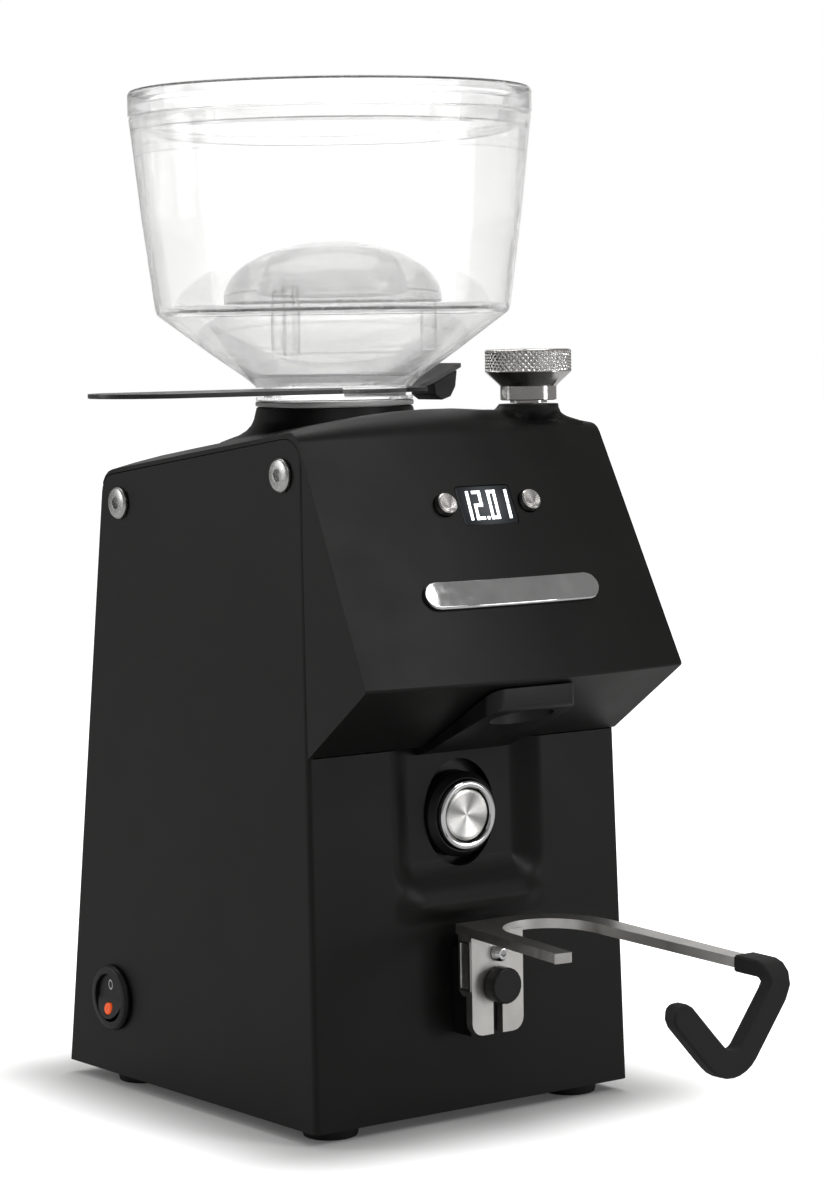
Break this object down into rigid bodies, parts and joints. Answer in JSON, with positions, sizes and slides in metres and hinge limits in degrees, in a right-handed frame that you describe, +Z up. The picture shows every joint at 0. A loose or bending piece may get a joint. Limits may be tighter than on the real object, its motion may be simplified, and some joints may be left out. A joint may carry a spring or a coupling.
{
  "type": "burr coffee grinder",
  "caption": "Electric burr coffee grinder with a clear hopper, sliding bean shutter, geared grind adjuster, front chute, start button and height-adjustable basket fork.",
  "frame": {"origin": "centre of the bounding box, on the floor under the feet", "axes": "+Z up, -Y towards the user's side with chute and fork, +X to the right seen from the front"},
  "size_m": [0.1714, 0.2898, 0.3591],
  "materials": {
    "body_paint": "fine-texture matt black powder coat",
    "black_plastic": "satin black moulding",
    "clear_plastic": "clear, polished",
    "chrome": "mirror",
    "knob_steel": "turned and polished",
    "fork_steel": "polished stainless",
    "shutter_paint": "satin black",
    "rubber": "matt black",
    "screw_steel": "bright plated",
    "display_glass": "polished dark window",
    "lens_orange": "translucent orange-red",
    "board_green": "solder mask",
    "copper_wire": "enamelled copper",
    "stator_steel": "laminated",
    "cast_aluminium": "as cast, machined faces",
    "burr_steel": "hardened and ground",
    "capacitor_shell": "moulded",
    "plated_steel": "zinc plated"
  },
  "bodies": {
    "housing": {"body_shell": "body_paint", "head_casting": "body_paint", "rear_panel": "body_paint", "base_plate": "plated_steel", "deck_plate": "plated_steel", "foot_front_left": "rubber", "foot_front_right": "rubber", "foot_rear_left": "rubber", "foot_rear_right": "rubber", "side_screw_front_left": "screw_steel", "side_screw_front_right": "screw_steel", "side_screw_rear_left": "screw_steel", "side_screw_rear_right": "screw_steel", "cable_gland": "black_plastic", "display_window": "display_glass", "display_board": "board_green", "badge": "chrome", "chute": "black_plastic", "hopper_collar": "clear_plastic", "grinding_chamber": "cast_aluminium", "motor_upper_cover": "cast_aluminium", "motor_lower_cover": "cast_aluminium", "motor_stator": "stator_steel", "upper_winding": "copper_wire", "lower_winding": "copper_wire", "upper_bearing": "plated_steel", "lower_bearing": "plated_steel", "run_capacitor": "capacitor_shell", "control_board": "board_green", "start_collar": "black_plastic", "start_ring": "chrome", "micro_switch": "black_plastic", "power_switch_body": "black_plastic", "mounting_block": "black_plastic"},
    "hopper": {"hopper_bowl": "clear_plastic", "hopper_dome": "clear_plastic"},
    "lid": {"hopper_lid": "clear_plastic"},
    "shutter": {"shutter_plate": "shutter_paint", "shutter_grip": "black_plastic"},
    "ring": {"adjuster_ring": "cast_aluminium", "upper_burr_carrier": "cast_aluminium", "upper_burr": "burr_steel"},
    "knob": {"adjustment_knob": "knob_steel", "adjuster_pinion": "plated_steel"},
    "rotor": {"motor_rotor": "stator_steel", "motor_shaft": "plated_steel", "lower_burr": "burr_steel", "lower_burr_carrier": "plated_steel"},
    "start_cap": {"start_button": "knob_steel"},
    "minus_cap": {"button_minus": "knob_steel"},
    "plus_cap": {"button_plus": "knob_steel"},
    "rocker": {"power_rocker": "black_plastic", "indicator_lens": "lens_orange"},
    "fork": {"fork_bracket": "fork_steel", "hook_sleeve": "rubber"},
    "thumb": {"thumb_screw": "black_plastic"},
    "stop": {"stop_screw": "chrome"}
  },
  "joints": [
    {"name": "hopper_lift", "type": "slide", "parent": "housing", "child": "hopper", "axis": [0, 0, 1], "range_m": [0, 0.05]},
    {"name": "lid_lift", "type": "slide", "parent": "hopper", "child": "lid", "axis": [0, 0, 1], "range_m": [0, 0.04]},
    {"name": "shutter_slide", "type": "slide", "parent": "hopper", "child": "shutter", "axis": [1, 0, 0], "range_m": [0, 0.045]},
    {"name": "grind_ring", "type": "hinge", "parent": "housing", "child": "ring", "pos_m": [0.0136, 0.05434, 0.0045], "axis": [0, 0, 1], "range_deg": [-38, 38]},
    {"name": "grind_knob", "type": "hinge", "parent": "housing", "child": "knob", "pos_m": [0.0508, -0.01078, 0.0045], "axis": [0, 0, 1], "range_deg": [-121, 121]},
    {"name": "motor_spin", "type": "hinge", "parent": "housing", "child": "rotor", "pos_m": [0.0136, 0.05434, 0.0045], "axis": [0, 0, 1], "continuous": true},
    {"name": "start_press", "type": "slide", "parent": "housing", "child": "start_cap", "axis": [0, 1, 0], "range_m": [0, 0.0025], "stiffness_N_per_m": 300, "springref_m": -0.002},
    {"name": "minus_press", "type": "slide", "parent": "housing", "child": "minus_cap", "axis": [0, 0.8944, -0.4472], "range_m": [0, 0.0018], "stiffness_N_per_m": 200, "springref_m": -0.001},
    {"name": "plus_press", "type": "slide", "parent": "housing", "child": "plus_cap", "axis": [0, 0.8944, -0.4472], "range_m": [0, 0.0018], "stiffness_N_per_m": 200, "springref_m": -0.001},
    {"name": "power_flip", "type": "hinge", "parent": "housing", "child": "rocker", "pos_m": [-0.05326, 0.10394, 0.0324], "axis": [0, 1, 0], "range_deg": [-16, 0]},
    {"name": "fork_height", "type": "slide", "parent": "housing", "child": "fork", "axis": [0, 0, 1], "range_m": [-0.001, 0.012]},
    {"name": "thumb_turn", "type": "hinge", "parent": "housing", "child": "thumb", "pos_m": [0.0136, -0.02416, 0.0493], "axis": [0, 1, 0], "range_deg": [-360, 90]},
    {"name": "stop_turn", "type": "hinge", "parent": "fork", "child": "stop", "pos_m": [0.0136, -0.02416, 0.0601], "axis": [0, 1, 0], "range_deg": [-360, 90]}
  ],
  "couplings": [
    {"joint": "grind_knob", "follows": "grind_ring", "ratio": -3.1667}
  ]
}
